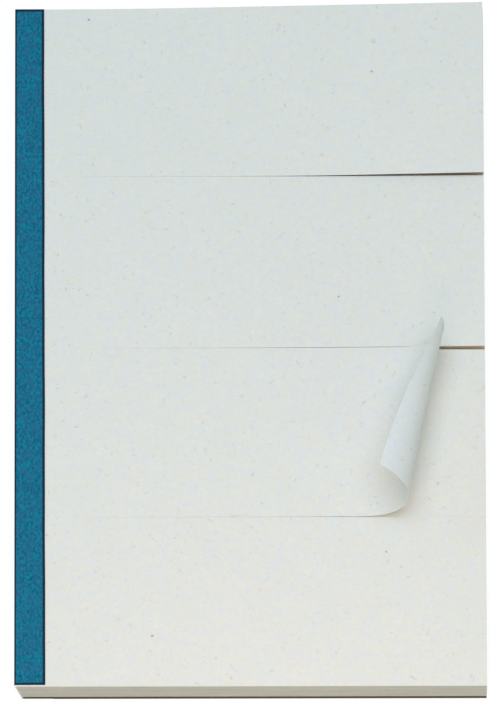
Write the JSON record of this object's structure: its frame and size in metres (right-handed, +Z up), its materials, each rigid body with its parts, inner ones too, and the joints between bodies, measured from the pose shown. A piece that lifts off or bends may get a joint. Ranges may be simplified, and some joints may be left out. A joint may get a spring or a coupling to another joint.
{
  "type": "notepad",
  "caption": "Glued notepad with a cloth-taped spine and a backing board, its sheets cut into tear-off strips and one strip of the top sheet rolled back.",
  "frame": {"origin": "centre of the pad's outline, at the table it lies on", "axes": "+X from the taped spine to the fore-edge, +Y to the head, +Z up out of the front face"},
  "size_m": [0.14, 0.216, 0.034],
  "materials": {
    "chipboard": "matt, grey-brown",
    "page_edges": "matt cut edges",
    "recycled_paper": "matt, finely flecked",
    "blue_tape": "matt woven cloth tape",
    "padding_glue": "matt set glue"
  },
  "bodies": {
    "root": {"backing_board": "chipboard", "page_block": "page_edges", "top_sheet": "recycled_paper", "spine_tape": "blue_tape", "spine_glue": "padding_glue"}
  },
  "joints": []
}
